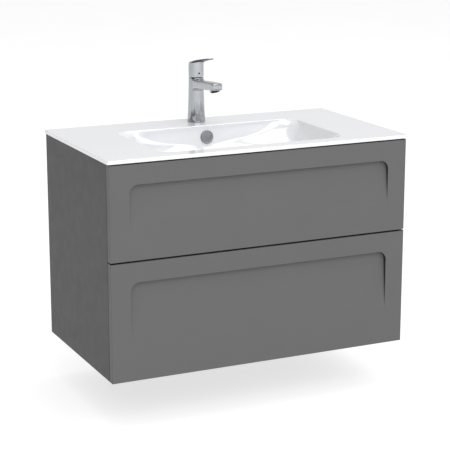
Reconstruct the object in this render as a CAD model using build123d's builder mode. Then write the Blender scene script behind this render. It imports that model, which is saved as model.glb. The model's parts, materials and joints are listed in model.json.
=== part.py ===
from build123d import *
from math import cos, radians, sin
import os

os.makedirs("parts", exist_ok=True)

# Wall-hung vanity cabinet with two drawers, a ceramic basin top, a single-lever tap and a bottle trap.
# X runs to the right seen from the front, Y towards the wall, Z up, all in millimetres.
# The origin is on the wall, at the middle of the back face of the upper hanging rail.

# ---------------------------------------------------------------- driving dimensions
# Carcass
CABINET_W = 795.0
PANEL_D = 430.0  # side panels, from the wall to their front edges
PANEL_T = 16.0
RAIL_H = 100.0
SEAL_T = 1.5
STRETCHER_D = 70.0

# Drawer fronts
FRONT_T = 18.0
FRONT_CLEAR = 2.0  # between the side panels' front edges and the fronts
DRAWER_GAP = 3.0
TOP_GAP = 2.5
UPPER_FRONT_H = 232.0
LOWER_FRONT_H = 293.5
FRONT_EDGE_R = 1.2
STILE_W = 50.5
RECESS_TOP_W = 50.0
RECESS_DEPTH = 12.0
RECESS_R = 22.0
UPPER_RAMP = 103.0
LOWER_RAMP = 148.0
FINGER_GROOVE = (600.0, 6.0, 8.0)  # length, width front to back, height

# Basin
SLAB_W = 804.0
SLAB_D = 452.5
SLAB_T = 9.0
SLAB_CORNER_R = 4.0
BOWL_DEPTH = 98.0
BOWL_WALL = 9.0
RIM_HALF_W = 252.0
RIM_BACK, RIM_FRONT = -112.0, -410.0
FLOOR_HALF_W = 205.0
FLOOR_BACK, FLOOR_FRONT = -124.0, -378.0
FLOOR_CORNER_R = 105.0
BOWL_FLOOR_R = 42.0
DRAIN_Y = -245.0
DRAIN_HOLE_R = 23.0
BOSS_R = 42.0
DUCT_W, DUCT_GAP, DUCT_WALL = 44.0, 12.0, 8.0
OVERFLOW_DROP = 31.0  # centre of the overflow hole below the deck
TAP_Y = -50.0
TAP_HOLE_R = 17.5

# Drawer boxes
BOX_T = 12.0
BOX_BOTTOM_T = 8.0
BOX_BACK = -78.0
BOX_LIFT = 15.0  # underside of a box above the lower edge of its front
UPPER_BOX_H = 87.0
LOWER_BOX_H = 160.0
GROOVE = 4.0
CUTOUT_R = 75.0
SURROUND_T = 3.0

# Telescopic runners
RUNNER_H = 45.0
RUNNER_T = 13.0
RUNNER_L = 350.0
MIDDLE_L = 330.0
SHEET = 1.2

# Waste and trap
FLANGE_R = 32.0
WASTE_R, WASTE_BORE = 20.9, 18.5
WASTE_LENGTH = 56.0
PLUG_R = 31.0
PIPE_R, PIPE_BORE = 16.0, 14.5
OUTLET_R = 15.7  # the outlet tube behind its 32 mm push-in end
BOTTLE_R, BOTTLE_WALL = 30.0, 2.5
OUTLET_DROP = 123.0  # outlet axis below the bowl floor
PIPE_BEYOND_WALL = 30.0

# Tap, heights counted from the deck
BODY_BASE_R, BODY_TOP_R, BODY_H = 24.0, 20.0, 116.5
CAP_GAP = 2.0
PIVOT_H = 126.0
LEVER_LIFT = 25.0  # degrees
SPOUT_REACH = 135.0
AERATOR_REACH = 120.0
AERATOR_TILT = 30.0  # degrees that the jet leans forward
CARTRIDGE_R = 16.0

# ---------------------------------------------------------------- derived positions
HALF_W = CABINET_W / 2
INNER = HALF_W - PANEL_T
PANEL_TOP = RAIL_H / 2
SEAT = PANEL_TOP + SEAL_T
DECK = SEAT + SLAB_T
FRONT_BACK_Y = -PANEL_D - FRONT_CLEAR
FRONT_Y = FRONT_BACK_Y - FRONT_T
UPPER_TOP = SEAT - TOP_GAP
UPPER_BASE = UPPER_TOP - UPPER_FRONT_H
LOWER_TOP = UPPER_BASE - DRAWER_GAP
BASE = LOWER_TOP - LOWER_FRONT_H
FLOOR = DECK - BOWL_DEPTH
BOX_HALF = INNER - RUNNER_T
UPPER_BOX_Z = UPPER_BASE + BOX_LIFT
LOWER_BOX_Z = BASE + PANEL_T + BOX_LIFT
STRETCHER_TOP = UPPER_BASE - 1.0
OUTLET_Z = FLOOR - OUTLET_DROP
DUCT_FLOOR = FLOOR - DUCT_WALL - DUCT_GAP


def block(x, y, z, mode=Mode.ADD):
    """One axis-aligned block between three pairs of limits, in the current part."""
    with Locations(((x[0] + x[1]) / 2, (y[0] + y[1]) / 2, (z[0] + z[1]) / 2)):
        Box(abs(x[1] - x[0]), abs(y[1] - y[0]), abs(z[1] - z[0]), mode=mode)


def disc(x, y, z, radius, mode=Mode.ADD):
    """One upright cylinder between two heights, in the current part."""
    with Locations((x, y, (z[0] + z[1]) / 2)):
        Cylinder(radius, abs(z[1] - z[0]), mode=mode)


def rod(start, end, radius, mode=Mode.ADD):
    """One cylinder from one point to another, in the current part."""
    axis = Vector(*end) - Vector(*start)
    middle = (Vector(*end) + Vector(*start)) / 2
    with Locations(Plane(origin=middle, z_dir=axis)):
        Cylinder(radius, axis.length, mode=mode)


def save(part, name):
    """Label one finished piece and write its STEP file."""
    part.part.label = name
    export_step(part.part, f"parts/{name}.step")


def sides():
    """The two hands of what is made as a left and right pair."""
    return (("left", -1), ("right", 1))


# ---------------------------------------------------------------- carcass joinery
CAM_R, CAM_DEPTH, CAM_INSET = 7.5, 12.0, 34.0
DOWEL_R, DOWEL_BITE = 3.5, 10.0
BOTTOM_CAM_Y = (-60.0, -370.0)
RAIL_CAM_Z = -30.0
LOWER_RAIL_Z = BASE + PANEL_T
STRETCHER_CAM_Y = -395.0

# Each cam lies in the face of a cross panel; the direction is the way its slotted head looks.
cam_places = [((INNER - CAM_INSET, y, BASE + PANEL_T), (0, 0, 1)) for y in BOTTOM_CAM_Y]
cam_places += [((INNER - CAM_INSET, -PANEL_T, RAIL_CAM_Z), (0, -1, 0))]
cam_places += [((INNER - CAM_INSET, -PANEL_T, LOWER_RAIL_Z + 70.0), (0, -1, 0))]
cam_places += [((INNER - CAM_INSET, STRETCHER_CAM_Y, STRETCHER_TOP - PANEL_T), (0, 0, -1))]


def cam_cuts():
    """Pockets for the cams and their dowels, cut from the current cross panel or side panel."""
    for face, way in cam_places:
        for side in (-1, 1):
            head = Vector(side * face[0], face[1], face[2])
            foot = head - Vector(*way) * CAM_DEPTH
            centre = head - Vector(*way) * PANEL_T / 2
            rod(head + Vector(*way), foot, CAM_R + 0.1, mode=Mode.SUBTRACT)
            tip = Vector(side * (INNER + DOWEL_BITE), centre.Y, centre.Z)
            rod(centre, tip, DOWEL_R + 0.1, mode=Mode.SUBTRACT)


with BuildPart() as cam_fittings:
    for face, way in cam_places:
        for side in (-1, 1):
            head = Vector(side * face[0], face[1], face[2])
            foot = head - Vector(*way) * (CAM_DEPTH - 0.2)
            rod(head, foot, CAM_R)
            rod(head, head - Vector(*way) * 2.0, 2.0, mode=Mode.SUBTRACT)
            centre = head - Vector(*way) * PANEL_T / 2
            start = Vector(side * (face[0] + CAM_R + 0.2), centre.Y, centre.Z)
            end = Vector(side * (INNER + DOWEL_BITE - 0.2), centre.Y, centre.Z)
            rod(start, end, DOWEL_R)
save(cam_fittings, "cam_fittings")

# ---------------------------------------------------------------- carcass panels
for hand, side in sides():
    with BuildPart() as side_panel:
        block((side * INNER, side * HALF_W), (-PANEL_D, 0), (BASE, PANEL_TOP))
        edges = side_panel.edges().filter_by(Axis.Z).group_by(Axis.Y)[0]
        chamfer(edges, 0.6)
        cam_cuts()
    save(side_panel, f"side_panel_{hand}")

with BuildPart() as bottom_panel:
    block((-INNER, INNER), (-PANEL_D, 0), (BASE, BASE + PANEL_T))
    cam_cuts()
save(bottom_panel, "bottom_panel")

with BuildPart() as front_stretcher:
    block((-INNER, INNER), (-PANEL_D, STRETCHER_D - PANEL_D), (STRETCHER_TOP - PANEL_T, STRETCHER_TOP))
    cam_cuts()
save(front_stretcher, "front_stretcher")

NOTCH_W, NOTCH_FLOOR = 56.0, -8.0

with BuildPart() as rear_rail_top:
    block((-INNER, INNER), (-PANEL_T, 0), (-PANEL_TOP, PANEL_TOP))
    for hand, side in sides():
        notch_x = (side * (INNER - NOTCH_W), side * (INNER + 1))
        block(notch_x, (-PANEL_T - 1, 1), (NOTCH_FLOOR, PANEL_TOP + 1), mode=Mode.SUBTRACT)
    cam_cuts()
save(rear_rail_top, "rear_rail_top")

with BuildPart() as rear_rail_bottom:
    block((-INNER, INNER), (-PANEL_T, 0), (LOWER_RAIL_Z, LOWER_RAIL_Z + RAIL_H))
    cam_cuts()
save(rear_rail_bottom, "rear_rail_bottom")

# ---------------------------------------------------------------- wall hanging
# A hanger on each side panel hooks over the lip of a plate that is screwed to the wall.
PLATE_T = 2.0
PLATE_X = (INNER - 52.0, INNER - 3.0)
PLATE_Z = (-5.0, 49.0)
LIP_Z = (1.0, 12.0)
LIP_Y = -8.0
FIXING_X, FIXING_Z, FIXING_R = 340.0, (24.0, 42.0), 3.0
HOOK_T, HANGER_T = 3.0, 18.0

with BuildPart() as wall_plates:
    for hand, side in sides():
        plate_x = (side * PLATE_X[0], side * PLATE_X[1])
        block(plate_x, (-PLATE_T, 0), PLATE_Z)
        block(plate_x, (LIP_Y, 0), (LIP_Z[0], LIP_Z[0] + PLATE_T))
        block(plate_x, (LIP_Y, LIP_Y + PLATE_T), LIP_Z)
        for height in FIXING_Z:
            hole = side * FIXING_X
            rod((hole, -PLATE_T - 1, height), (hole, 1, height), FIXING_R, mode=Mode.SUBTRACT)
save(wall_plates, "wall_plates")

with BuildPart() as hangers:
    for hand, side in sides():
        block((side * INNER, side * (INNER - HANGER_T)), (-66.0, -PANEL_T), (-14.0, 44.0))
        screw_x = side * (INNER - 8.0)
        for height in (-6.0, 36.0):
            rod((screw_x, -67.0, height), (screw_x, -58.0, height), 3.2, mode=Mode.SUBTRACT)
        hook_x = (side * (INNER - 4.0), side * (INNER - HANGER_T))
        block(hook_x, (-PANEL_T, -2.5), (LIP_Z[1], LIP_Z[1] + HOOK_T))
        block(hook_x, (-5.5, -2.5), (LIP_Z[0] + 4.0, LIP_Z[1]))
save(hangers, "hangers")

# ---------------------------------------------------------------- basin seal and bumpers
with BuildPart() as basin_seal:
    for hand, side in sides():
        block((side * (INNER + 3.0), side * (HALF_W - 3.0)), (6.0 - PANEL_D, -3.0), (PANEL_TOP, SEAT))
    block((NOTCH_W - INNER, INNER - NOTCH_W), (3.0 - PANEL_T, -3.0), (PANEL_TOP, SEAT))
save(basin_seal, "basin_seal")

with BuildPart() as bumper_pads:
    for hand, side in sides():
        for height in (UPPER_TOP - 25.0, UPPER_BASE + 25.0, LOWER_TOP - 25.0, BASE + 25.0):
            x = side * (INNER + PANEL_T / 2)
            rod((x, -PANEL_D, height), (x, FRONT_BACK_Y + 0.1, height), 4.0)
save(bumper_pads, "bumper_pads")


# ---------------------------------------------------------------- basin
def bowl_outline(half_w, back, front, r_back, r_front, height):
    """Rounded rectangle of the bowl at one height, its back corners tighter than its front ones."""
    with BuildSketch(Plane.XY.offset(height)) as outline:
        with Locations((0, (back + front) / 2)):
            Rectangle(2 * half_w, back - front)
        fillet(outline.vertices().group_by(Axis.Y)[-1], r_back)
        fillet(outline.vertices().group_by(Axis.Y)[0], r_front)
    return outline.sketch


with BuildPart() as bowl_void:
    rim = bowl_outline(RIM_HALF_W, RIM_BACK, RIM_FRONT, 28.0, 48.0, DECK)
    floor = bowl_outline(FLOOR_HALF_W, FLOOR_BACK, FLOOR_FRONT, FLOOR_CORNER_R, FLOOR_CORNER_R, FLOOR)
    loft([rim, floor])
    fillet(bowl_void.faces().sort_by(Axis.Z)[0].edges(), BOWL_FLOOR_R)

with BuildPart() as bowl_hull:
    rim = bowl_outline(RIM_HALF_W + 8, RIM_BACK + 8, RIM_FRONT - 4, 36.0, 54.0, DECK - 0.5)
    hull_back, hull_front = FLOOR_BACK + BOWL_WALL, FLOOR_FRONT - BOWL_WALL
    hull_r = FLOOR_CORNER_R + BOWL_WALL
    floor = bowl_outline(FLOOR_HALF_W + BOWL_WALL, hull_back, hull_front, hull_r, hull_r, FLOOR - BOWL_WALL)
    loft([rim, floor])
    fillet(bowl_hull.faces().sort_by(Axis.Z)[0].edges(), BOWL_FLOOR_R + BOWL_WALL)

OVERFLOW_Z = DECK - OVERFLOW_DROP
DUCT_BACK = -90.0

with BuildPart() as basin:
    block((-SLAB_W / 2, SLAB_W / 2), (-SLAB_D, 0), (SEAT, DECK))
    fillet(basin.edges().filter_by(Axis.Z), SLAB_CORNER_R)
    rounded = basin.faces().sort_by(Axis.Z)[-1].edges()
    fillet(rounded, 2.5)
    add(bowl_hull.part)
    # the overflow duct runs down behind the back wall and forward under the floor to the drain
    outer_x = (-DUCT_W / 2 - DUCT_WALL, DUCT_W / 2 + DUCT_WALL)
    block(outer_x, (-150.0, DUCT_BACK + DUCT_WALL), (DUCT_FLOOR - DUCT_WALL, SEAT))
    block(outer_x, (DRAIN_Y, -140.0), (DUCT_FLOOR - DUCT_WALL, FLOOR))
    disc(0, DRAIN_Y, (DUCT_FLOOR - DUCT_WALL, FLOOR), BOSS_R)
    add(bowl_void.part, mode=Mode.SUBTRACT)
    duct_x = (-DUCT_W / 2, DUCT_W / 2)
    block(duct_x, (DUCT_BACK - DUCT_GAP, DUCT_BACK), (DUCT_FLOOR, OVERFLOW_Z + 16.0), mode=Mode.SUBTRACT)
    block(duct_x, (DRAIN_Y, DUCT_BACK), (DUCT_FLOOR, DUCT_FLOOR + DUCT_GAP), mode=Mode.SUBTRACT)
    rod((0, RIM_BACK - 30.0, OVERFLOW_Z), (0, DUCT_BACK - 2.0, OVERFLOW_Z), 12.0, mode=Mode.SUBTRACT)
    disc(0, DRAIN_Y, (DUCT_FLOOR - DUCT_WALL - 1, FLOOR + 1), DRAIN_HOLE_R, mode=Mode.SUBTRACT)
    disc(0, DRAIN_Y, (FLOOR - 3.0, FLOOR + 1), FLANGE_R + 1.0, mode=Mode.SUBTRACT)
    disc(0, TAP_Y, (SEAT - 1, DECK + 1), TAP_HOLE_R, mode=Mode.SUBTRACT)
save(basin, "basin")

# The overflow cover is a round cap with a clip stub in the overflow hole. The back wall leans,
# so the cap stands on its line at the height of the hole.
WALL_LEAN = (FLOOR_BACK - RIM_BACK) / BOWL_DEPTH
OVERFLOW_Y = RIM_BACK + WALL_LEAN * OVERFLOW_DROP
COVER_R, COVER_T = 17.5, 4.0

with BuildPart() as overflow_cover:
    outward = Vector(0, -1, -WALL_LEAN).normalized()
    seat_point = Vector(0, OVERFLOW_Y, OVERFLOW_Z) + outward * 0.4
    rod(seat_point, seat_point + outward * COVER_T, COVER_R)
    fillet(overflow_cover.faces().sort_by(Axis.Y)[0].edges(), 1.5)
    rod(seat_point - outward * 9.0, seat_point, 11.0)
    for step in range(5):
        x = (step - 2) * 4.0
        stub_z = (OVERFLOW_Z - 7.0, OVERFLOW_Z + 7.0)
        block((x - 1.2, x + 1.2), (OVERFLOW_Y - 2.5, OVERFLOW_Y + 12.0), stub_z, mode=Mode.SUBTRACT)
save(overflow_cover, "overflow_cover")

# ---------------------------------------------------------------- waste valve
WASTE_TOP = FLOOR
WASTE_END = WASTE_TOP - WASTE_LENGTH
BOSS_FACE = DUCT_FLOOR - DUCT_WALL

with BuildPart() as waste_flange:
    disc(0, DRAIN_Y, (WASTE_TOP - 3.0, WASTE_TOP - 0.5), FLANGE_R)
    fillet(waste_flange.edges().group_by(Axis.Z)[-1], 1.5)
    disc(0, DRAIN_Y, (WASTE_END, WASTE_TOP - 3.0), WASTE_R)
    disc(0, DRAIN_Y, (WASTE_END - 1, WASTE_TOP), WASTE_BORE, mode=Mode.SUBTRACT)
    window_z = (DUCT_FLOOR + 1.0, DUCT_FLOOR + DUCT_GAP - 1.0)
    block((-7.0, 7.0), (DRAIN_Y, DRAIN_Y + WASTE_R + 2), window_z, mode=Mode.SUBTRACT)
    block((-7.0, 7.0), (DRAIN_Y - WASTE_R - 2, DRAIN_Y), window_z, mode=Mode.SUBTRACT)
save(waste_flange, "waste_flange")

with BuildPart() as waste_washer:
    disc(0, DRAIN_Y, (BOSS_FACE - 3.0, BOSS_FACE), 33.0)
    disc(0, DRAIN_Y, (BOSS_FACE - 4.0, BOSS_FACE + 1), WASTE_R + 0.1, mode=Mode.SUBTRACT)
save(waste_washer, "waste_washer")

with BuildPart() as waste_nut:
    with BuildSketch(Plane.XY.offset(BOSS_FACE - 11.0)):
        with Locations((0, DRAIN_Y)):
            RegularPolygon(31.0, 8)
            Circle(WASTE_R + 0.1, mode=Mode.SUBTRACT)
    extrude(amount=8.0)
save(waste_nut, "waste_nut")

# The push-open catch stands on a three-armed bridge inside the waste.
CATCH_R = 6.0
with BuildPart() as plug_catch:
    disc(0, DRAIN_Y, (WASTE_TOP - 34.0, WASTE_TOP - 9.0), CATCH_R)
    for angle in (90, 210, 330):
        arm_x, arm_y = (WASTE_BORE - 0.6) * cos(radians(angle)), (WASTE_BORE - 0.6) * sin(radians(angle))
        rod((0, DRAIN_Y, WASTE_TOP - 30.0), (arm_x, DRAIN_Y + arm_y, WASTE_TOP - 30.0), 1.6)
    disc(0, DRAIN_Y, (WASTE_TOP - 31.0, WASTE_TOP - 8.0), 3.05, mode=Mode.SUBTRACT)
save(plug_catch, "plug_catch")

with BuildPart() as drain_plug:
    disc(0, DRAIN_Y, (WASTE_TOP, WASTE_TOP + 4.0), PLUG_R)
    fillet(drain_plug.edges().group_by(Axis.Z)[-1], 2.5)
    disc(0, DRAIN_Y, (WASTE_TOP - 28.0, WASTE_TOP), 3.0)
    disc(0, DRAIN_Y, (WASTE_TOP - 5.0, WASTE_TOP), 14.0)
save(drain_plug, "drain_plug")

with BuildPart() as plug_seal:
    disc(0, DRAIN_Y, (WASTE_TOP - 4.0, WASTE_TOP - 1.0), WASTE_BORE - 0.3)
    disc(0, DRAIN_Y, (WASTE_TOP - 5.0, WASTE_TOP), 14.0, mode=Mode.SUBTRACT)
save(plug_seal, "plug_seal")

# ---------------------------------------------------------------- bottle trap
NUT_R = 27.0
NECK_TOP = OUTLET_Z + 38.0
BOTTLE_TOP = OUTLET_Z + 24.0
BOTTLE_END = OUTLET_Z - 66.0
CUP_END = OUTLET_Z - 102.0
OUTLET_STUB_Y = DRAIN_Y + BOTTLE_R + 20.0


def ribbed_nut(bottom, top, bore, radius=NUT_R, lip=0.0, lip_bore=PIPE_R + 0.1):
    """Hand-tightened union nut round the trap's upright axis: a ring with grip ribs and an inner lip."""
    with BuildPart() as nut:
        disc(0, DRAIN_Y, (bottom, top), radius - 1.5)
        with BuildSketch(Plane.XY.offset(bottom)):
            with Locations((0, DRAIN_Y)):
                with PolarLocations(radius - 1.5, 12):
                    Rectangle(3.0, 5.0)
        extrude(amount=top - bottom - 2.0)
        disc(0, DRAIN_Y, (bottom + lip, top + 1), bore, mode=Mode.SUBTRACT)
        disc(0, DRAIN_Y, (bottom - 1, top + 1), lip_bore if lip else bore, mode=Mode.SUBTRACT)
    return nut


inlet_nut_top = WASTE_END + 14.0
save(ribbed_nut(WASTE_END - 9.0, inlet_nut_top, WASTE_R + 0.1, lip=3.0), "trap_inlet_nut")

with BuildPart() as trap_inlet_seal:
    disc(0, DRAIN_Y, (WASTE_END - 6.0, WASTE_END), WASTE_R - 0.2)
    disc(0, DRAIN_Y, (WASTE_END - 7.0, WASTE_END + 1.0), PIPE_R + 0.05, mode=Mode.SUBTRACT)
save(trap_inlet_seal, "trap_inlet_seal")

with BuildPart() as trap_dip_tube:
    disc(0, DRAIN_Y, (OUTLET_Z - 80.0, WASTE_END), PIPE_R)
    disc(0, DRAIN_Y, (OUTLET_Z - 81.0, WASTE_END + 1.0), PIPE_BORE, mode=Mode.SUBTRACT)
save(trap_dip_tube, "trap_dip_tube")

with BuildPart() as trap_body:
    disc(0, DRAIN_Y, (BOTTLE_END, BOTTLE_TOP), BOTTLE_R)
    fillet(trap_body.edges().group_by(Axis.Z)[-1], 6.0)
    disc(0, DRAIN_Y, (BOTTLE_TOP - 1, NECK_TOP), 20.0)
    rod((0, DRAIN_Y, OUTLET_Z), (0, OUTLET_STUB_Y, OUTLET_Z), 20.0)
    inside = BOTTLE_R - BOTTLE_WALL
    disc(0, DRAIN_Y, (BOTTLE_END - 1, BOTTLE_TOP - BOTTLE_WALL - 2), inside, mode=Mode.SUBTRACT)
    disc(0, DRAIN_Y, (BOTTLE_END, NECK_TOP + 1), PIPE_R + 0.1, mode=Mode.SUBTRACT)
    rod((0, DRAIN_Y + 20.0, OUTLET_Z), (0, OUTLET_STUB_Y + 1, OUTLET_Z), PIPE_R + 0.1, mode=Mode.SUBTRACT)
save(trap_body, "trap_body")

save(ribbed_nut(BOTTLE_TOP + 1.0, NECK_TOP + 3.0, 20.2, radius=25.0), "trap_neck_nut")

with BuildPart() as trap_cup:
    disc(0, DRAIN_Y, (CUP_END, BOTTLE_END + 14.0), BOTTLE_R + 3.0)
    fillet(trap_cup.edges().group_by(Axis.Z)[0], 8.0)
    with BuildSketch(Plane.XY.offset(BOTTLE_END - 14.0)):
        with Locations((0, DRAIN_Y)):
            with PolarLocations(BOTTLE_R + 3.0, 16):
                Rectangle(2.5, 4.0)
    extrude(amount=26.0)
    disc(0, DRAIN_Y, (BOTTLE_END, BOTTLE_END + 15.0), BOTTLE_R + 0.1, mode=Mode.SUBTRACT)
    disc(0, DRAIN_Y, (CUP_END + 3.0, BOTTLE_END + 1.0), BOTTLE_R - 4.0, mode=Mode.SUBTRACT)
save(trap_cup, "trap_cup")

with BuildPart() as trap_outlet_nut:
    with BuildSketch(Plane.XZ.offset(-(OUTLET_STUB_Y - 12.0))) as nut_profile:
        with Locations((0, OUTLET_Z)):
            Circle(25.5)
            with PolarLocations(25.5, 12):
                Rectangle(3.0, 5.0)
    extrude(amount=-24.0)
    nut_start = (0, OUTLET_STUB_Y - 13.0, OUTLET_Z)
    rod(nut_start, (0, OUTLET_STUB_Y + 0.5, OUTLET_Z), 20.2, mode=Mode.SUBTRACT)
    rod(nut_start, (0, OUTLET_STUB_Y + 13.0, OUTLET_Z), OUTLET_R + 0.1, mode=Mode.SUBTRACT)
save(trap_outlet_nut, "trap_outlet_nut")

with BuildPart() as trap_outlet_pipe:
    rod((0, OUTLET_STUB_Y - 18.0, OUTLET_Z), (0, 0, OUTLET_Z), OUTLET_R)
    rod((0, 0, OUTLET_Z), (0, PIPE_BEYOND_WALL, OUTLET_Z), PIPE_R)
    bore_end = PIPE_BEYOND_WALL + 1.0
    rod((0, OUTLET_STUB_Y - 19.0, OUTLET_Z), (0, bore_end, OUTLET_Z), PIPE_BORE, mode=Mode.SUBTRACT)
save(trap_outlet_pipe, "trap_outlet_pipe")

with BuildPart() as wall_rosette:
    rod((0, -8.0, OUTLET_Z), (0, 0, OUTLET_Z), 38.0)
    fillet(wall_rosette.faces().sort_by(Axis.Y)[0].edges(), 6.0)
    rod((0, -9.0, OUTLET_Z), (0, 1.0, OUTLET_Z), OUTLET_R + 0.1, mode=Mode.SUBTRACT)
save(wall_rosette, "wall_rosette")

# ---------------------------------------------------------------- tap
AERATOR_Y = TAP_Y - AERATOR_REACH
SPOUT_TIP_Y = TAP_Y - SPOUT_REACH
BODY_TOP = DECK + BODY_H
PIVOT_Z = DECK + PIVOT_H
STUD_Y = TAP_Y - 11.0
JET = Vector(0, -sin(radians(AERATOR_TILT)), -cos(radians(AERATOR_TILT)))
MOUTH = Vector(0, AERATOR_Y, DECK + 95.5)
INLET_X, INLET_Y, INLET_R = 8.5, TAP_Y + 5.0, 4.5
PASSAGE_R = 5.2  # cast water passages above the threaded inlets


def spout_section(y, width, low, high, corner):
    """Upright cross-section of the spout at one distance from the wall, heights above the deck."""
    with BuildSketch(Plane.XZ.offset(-y)) as section:
        with Locations((0, DECK + (low + high) / 2)):
            RectangleRounded(width, high - low, corner)
    return section.sketch


with BuildPart() as tap_body:
    with BuildSketch(Plane.XZ.offset(-TAP_Y)):
        with BuildLine():
            foot = Line((0, DECK), (BODY_BASE_R, DECK))
            skirt = Line(foot @ 1, (BODY_BASE_R, DECK + 3.0))
            waist_points = (skirt @ 1, (21.6, DECK + 45.0), (BODY_TOP_R, BODY_TOP))
            waist = Spline(*waist_points, tangents=[(-0.1, 1), (0, 1)])
            crown = Line(waist @ 1, (0, BODY_TOP))
            Line(crown @ 1, (0, DECK))
        make_face()
    revolve(axis=Axis((0, TAP_Y, 0), (0, 0, 1)))
    root = spout_section(TAP_Y, 34.0, 88.0, 114.0, 9.0)
    middle = spout_section(TAP_Y - 70.0, 31.0, 93.0, 117.0, 8.0)
    tip = spout_section(SPOUT_TIP_Y, 28.0, 98.0, 119.0, 7.0)
    loft([root, middle, tip])
    rod(MOUTH, MOUTH - JET * 12.0, 13.5)
    rod(MOUTH + JET, MOUTH - JET * 14.0, 11.6, mode=Mode.SUBTRACT)
    disc(0, TAP_Y, (DECK + 80.0, BODY_TOP + 1), CARTRIDGE_R + 0.2, mode=Mode.SUBTRACT)
    rod((0, TAP_Y, DECK + 103.0), (0, AERATOR_Y + 10.0, DECK + 107.0), 5.0, mode=Mode.SUBTRACT)
    for side in (-1, 1):
        disc(side * INLET_X, INLET_Y, (DECK - 1, DECK + 14.0), INLET_R, mode=Mode.SUBTRACT)
        disc(side * INLET_X, INLET_Y, (DECK + 14.0, DECK + 81.0), PASSAGE_R, mode=Mode.SUBTRACT)
    disc(0, STUD_Y, (DECK - 1, DECK + 16.0), 4.05, mode=Mode.SUBTRACT)
save(tap_body, "tap_body")

with BuildPart() as aerator:
    rod(MOUTH - JET, MOUTH - JET * 11.0, 11.5)
    rod(MOUTH, MOUTH - JET * 3.5, 9.5, mode=Mode.SUBTRACT)
    with BuildSketch(Plane(origin=MOUTH, z_dir=-JET)):
        with HexLocations(1.9, 3, 3):
            Circle(1.1)
    extrude(amount=13.0, mode=Mode.SUBTRACT)
save(aerator, "aerator")

NECK_R, ROTOR_R = 12.8, 11.6
SEAT_Z = BODY_TOP - 3.5  # shoulder on the cartridge that its nut presses on

with BuildPart() as cartridge:
    disc(0, TAP_Y, (DECK + 80.5, SEAT_Z), CARTRIDGE_R)
    disc(0, TAP_Y, (SEAT_Z, BODY_TOP + 3.5), NECK_R)
    disc(0, TAP_Y, (BODY_TOP - 1.5, BODY_TOP + 4.0), ROTOR_R + 0.2, mode=Mode.SUBTRACT)
    rod((0, TAP_Y, DECK + 103.0), (0, TAP_Y - CARTRIDGE_R - 1, DECK + 103.0), 4.0, mode=Mode.SUBTRACT)
    for side in (-1, 1):
        disc(side * INLET_X, INLET_Y, (DECK + 80.0, DECK + 95.0), 2.5, mode=Mode.SUBTRACT)
save(cartridge, "cartridge")

with BuildPart() as cartridge_nut:
    disc(0, TAP_Y, (SEAT_Z, BODY_TOP + 0.2), CARTRIDGE_R + 0.1)
    fillet(cartridge_nut.edges().group_by(Axis.Z)[-1], 1.0)
    disc(0, TAP_Y, (SEAT_Z - 1, BODY_TOP + 4.0), NECK_R + 0.1, mode=Mode.SUBTRACT)
save(cartridge_nut, "cartridge_nut")

STEM_HALF = 4.0
with BuildPart() as cartridge_rotor:
    disc(0, TAP_Y, (BODY_TOP - 1.2, PIVOT_Z - 4.5), ROTOR_R)
    for side in (-1, 1):
        cheek_x = (side * (STEM_HALF + 0.3), side * 8.0)
        block(cheek_x, (TAP_Y - 4.0, TAP_Y + 4.0), (PIVOT_Z - 5.0, PIVOT_Z + 3.5))
    rod((-9.0, TAP_Y, PIVOT_Z), (9.0, TAP_Y, PIVOT_Z), 1.5, mode=Mode.SUBTRACT)
save(cartridge_rotor, "cartridge_rotor")

with BuildPart() as lever_pin:
    rod((-8.0, TAP_Y, PIVOT_Z), (8.0, TAP_Y, PIVOT_Z), 1.5)
save(lever_pin, "lever_pin")

CAP_BASE = BODY_TOP + CAP_GAP
CAP_R, CAP_WALL = BODY_TOP_R, 2.0
CAP_SHOULDER = DECK + 141.0
CAP_TOP = DECK + 150.0
HOLLOW_TOP = PIVOT_Z + 18.0
INDEX_R = 2.5

with BuildPart() as lever_stem:
    rod((-STEM_HALF, TAP_Y, PIVOT_Z), (STEM_HALF, TAP_Y, PIVOT_Z), STEM_HALF)
    block((-STEM_HALF, STEM_HALF), (TAP_Y - STEM_HALF, TAP_Y + STEM_HALF), (PIVOT_Z, HOLLOW_TOP))
    rod((-9.0, TAP_Y, PIVOT_Z), (9.0, TAP_Y, PIVOT_Z), 1.55, mode=Mode.SUBTRACT)
save(lever_stem, "lever_stem")

with BuildPart() as blade:
    with BuildSketch(Plane.YZ):
        with BuildLine():
            top = Spline(
                (TAP_Y + 19.5, DECK + 153.0), (TAP_Y - 12.0, DECK + 163.5), (TAP_Y - 55.0, DECK + 172.0),
                (TAP_Y - 92.0, DECK + 176.5),
            )
            end = Line(top @ 1, (TAP_Y - 92.0, DECK + 173.0))
            under = Spline(
                end @ 1, (TAP_Y - 55.0, DECK + 167.5), (TAP_Y - 18.0, DECK + 158.0),
                (TAP_Y - 2.0, DECK + 149.0),
            )
            foot = Line(under @ 1, (TAP_Y + 2.0, DECK + 146.0))
            heel = Line(foot @ 1, (TAP_Y + 19.5, DECK + 146.0))
            Line(heel @ 1, top @ 0)
        make_face()
    extrude(amount=CAP_R, both=True)
    with BuildSketch(Plane.XY.offset(DECK + 130.0)):
        with BuildLine():
            left = Line((-19.5, TAP_Y), (-12.5, TAP_Y - 85.0))
            nose = ThreePointArc(left @ 1, (0, TAP_Y - 91.5), (12.5, TAP_Y - 85.0))
            right = Line(nose @ 1, (19.5, TAP_Y))
            ThreePointArc(right @ 1, (0, TAP_Y + CAP_R), left @ 0)
        make_face()
    extrude(amount=60.0, mode=Mode.INTERSECT)

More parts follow.
